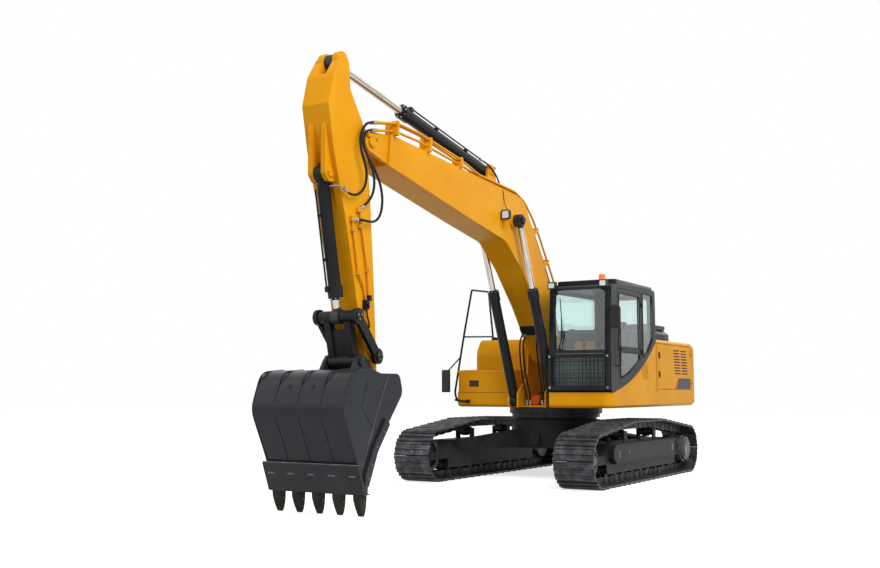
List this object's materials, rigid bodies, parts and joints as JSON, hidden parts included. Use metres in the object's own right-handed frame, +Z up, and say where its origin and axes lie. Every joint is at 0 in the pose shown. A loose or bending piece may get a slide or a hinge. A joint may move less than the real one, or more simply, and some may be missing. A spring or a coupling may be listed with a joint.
{
  "type": "crawler excavator",
  "caption": "Tracked hydraulic excavator with a slewing house, glazed cab, cranked boom, arm and toothed bucket, all on real joints.",
  "frame": {"origin": "bottom centre of the whole machine's box, on the ground under the tracks, at the machine's mid plane", "axes": "+X towards the boom and bucket, +Y to the machine's left (the cab side), +Z up"},
  "size_m": [9.6152, 3.19, 5.232],
  "materials": {
    "beacon_orange": "translucent",
    "body_yellow": "worn amber paint",
    "bucket_steel": "black paint, scuffed",
    "cab_black": "satin black paint",
    "cylinder_black": "gloss black paint",
    "engine_grey": "painted casting",
    "frame_black": "satin black paint, dusty",
    "glass": "clear, slightly green",
    "grey_cover": "worn grey paint",
    "mirror_black": "moulded",
    "rod_chrome": "polished",
    "seat_fabric": "woven",
    "track_steel": "worn steel with dry mud"
  },
  "bodies": {
    "undercarriage": {"carbody": "frame_black", "track_frame_left": "frame_black", "track_frame_right": "frame_black", "track_left": "track_steel", "track_right": "track_steel", "idlers": "track_steel", "sprockets": "grey_cover", "track_rollers": "frame_black", "carrier_rollers": "frame_black"},
    "house": {"swing_ring": "track_steel", "main_frame": "body_yellow", "left_deck": "body_yellow", "right_deck": "body_yellow", "counterweight": "body_yellow", "body_shell": "body_yellow", "engine_block": "engine_grey", "exhaust_stack": "frame_black", "fuel_tank": "body_yellow", "hydraulic_tank": "body_yellow", "tool_box": "body_yellow", "handrail": "frame_black", "mirror_right": "mirror_black", "mirror_left": "mirror_black", "work_lights": "mirror_black", "beacon": "beacon_orange", "cab_shell": "cab_black", "side_panel": "body_yellow", "cab_glass": "glass", "front_guard": "cab_black", "seat": "seat_fabric", "controls": "mirror_black"},
    "cab_door": {"cab_door": "cab_black", "door_glass": "glass"},
    "engine_hood": {"engine_hood": "frame_black"},
    "left_service_door": {"left_service_door": "body_yellow"},
    "right_pump_door": {"right_pump_door": "body_yellow"},
    "tool_box_lid": {"tool_box_lid": "body_yellow"},
    "boom": {"boom": "body_yellow"},
    "boom_cylinders": {"boom_cylinders": "cylinder_black"},
    "boom_rods": {"boom_rods": "rod_chrome"},
    "arm": {"arm": "body_yellow"},
    "arm_cylinder": {"arm_cylinder": "cylinder_black"},
    "arm_rod": {"arm_rod": "rod_chrome"},
    "bucket_cylinder": {"bucket_cylinder": "cylinder_black"},
    "bucket_rod": {"bucket_rod": "rod_chrome"},
    "rocker_links": {"rocker_links": "cylinder_black"},
    "bucket": {"bucket": "bucket_steel", "bucket_teeth": "track_steel"},
    "bucket_link": {"bucket_link": "cylinder_black"}
  },
  "joints": [
    {"name": "swing", "type": "hinge", "parent": "undercarriage", "child": "house", "pos_m": [-1.83, 0, 0.94], "axis": [0, 0, 1], "continuous": true},
    {"name": "boom_raise", "type": "hinge", "parent": "house", "child": "boom", "pos_m": [-1.51, 0, 1.92], "axis": [0, -1, 0], "range_deg": [-64, 38]},
    {"name": "boom_cylinder_pivot", "type": "hinge", "parent": "house", "child": "boom_cylinders", "pos_m": [-1.03, 0, 1.2], "axis": [0, -1, 0], "range_deg": [-57.02, 33.94]},
    {"name": "boom_rod_slide", "type": "slide", "parent": "boom_cylinders", "child": "boom_rods", "axis": [0.3948, 0, 0.9188], "range_m": [-0.8455, 0.5028]},
    {"name": "arm_swing", "type": "hinge", "parent": "boom", "child": "arm", "pos_m": [3.69, 0, 4.275], "axis": [0, 1, 0], "range_deg": [-82, 30]},
    {"name": "arm_cylinder_pivot", "type": "hinge", "parent": "boom", "child": "arm_cylinder", "pos_m": [0.53, 0, 4.51], "axis": [0, 1, 0], "range_deg": [-7.03, 2.7]},
    {"name": "arm_rod_slide", "type": "slide", "parent": "arm_cylinder", "child": "arm_rod", "axis": [0.9866, 0, 0.1631], "range_m": [-1.2291, 0.4509]},
    {"name": "bucket_curl", "type": "hinge", "parent": "arm", "child": "bucket", "pos_m": [3.67, 0, 1.4], "axis": [0, 1, 0], "range_deg": [-8, 160]},
    {"name": "rocker_pivot", "type": "hinge", "parent": "arm", "child": "rocker_links", "pos_m": [3.68, 0, 1.75], "axis": [0, 1, 0], "range_deg": [-5.82, 112.6]},
    {"name": "bucket_link_pivot", "type": "hinge", "parent": "bucket", "child": "bucket_link", "pos_m": [3.945, 0, 1.68], "axis": [0, -1, 0], "range_deg": [-5.99, 115.92]},
    {"name": "bucket_cylinder_pivot", "type": "hinge", "parent": "arm", "child": "bucket_cylinder", "pos_m": [4.41, 0, 3.787], "axis": [0, -1, 0], "range_deg": [-0.55, 7.23]},
    {"name": "bucket_rod_slide", "type": "slide", "parent": "bucket_cylinder", "child": "bucket_rod", "axis": [-0.2053, 0, -0.9787], "range_m": [-0.0498, 0.9588]},
    {"name": "cab_door_hinge", "type": "hinge", "parent": "house", "child": "cab_door", "pos_m": [-1.955, 1.432, 2.2], "axis": [0, 0, 1], "range_deg": [0, 165]},
    {"name": "hood_hinge", "type": "hinge", "parent": "house", "child": "engine_hood", "pos_m": [-2.83, 0, 2.195], "axis": [0, 1, 0], "range_deg": [0, 65]},
    {"name": "left_service_door_hinge", "type": "hinge", "parent": "house", "child": "left_service_door", "pos_m": [-4.435, 1.432, 1.75], "axis": [0, 0, 1], "range_deg": [0, 95]},
    {"name": "right_pump_door_hinge", "type": "hinge", "parent": "house", "child": "right_pump_door", "pos_m": [-4.435, -1.432, 1.75], "axis": [0, 0, -1], "range_deg": [0, 95]},
    {"name": "tool_box_lid_hinge", "type": "hinge", "parent": "house", "child": "tool_box_lid", "pos_m": [-1.712, 0, 1.693], "axis": [0, -1, 0], "range_deg": [0, 80]}
  ],
  "couplings": [
    {"joint": "boom_cylinder_pivot", "follows": "boom_raise", "ratio": 0.88776},
    {"joint": "boom_rod_slide", "follows": "boom_raise", "m_per_rad": 0.75516},
    {"joint": "arm_cylinder_pivot", "follows": "arm_swing", "ratio": 0.08331},
    {"joint": "arm_rod_slide", "follows": "arm_swing", "m_per_rad": 0.85738},
    {"joint": "rocker_pivot", "follows": "bucket_curl", "ratio": 0.7025},
    {"joint": "bucket_link_pivot", "follows": "bucket_curl", "ratio": 0.72327},
    {"joint": "bucket_cylinder_pivot", "follows": "bucket_curl", "ratio": 0.04391},
    {"joint": "bucket_rod_slide", "follows": "bucket_curl", "m_per_rad": 0.34264}
  ]
}
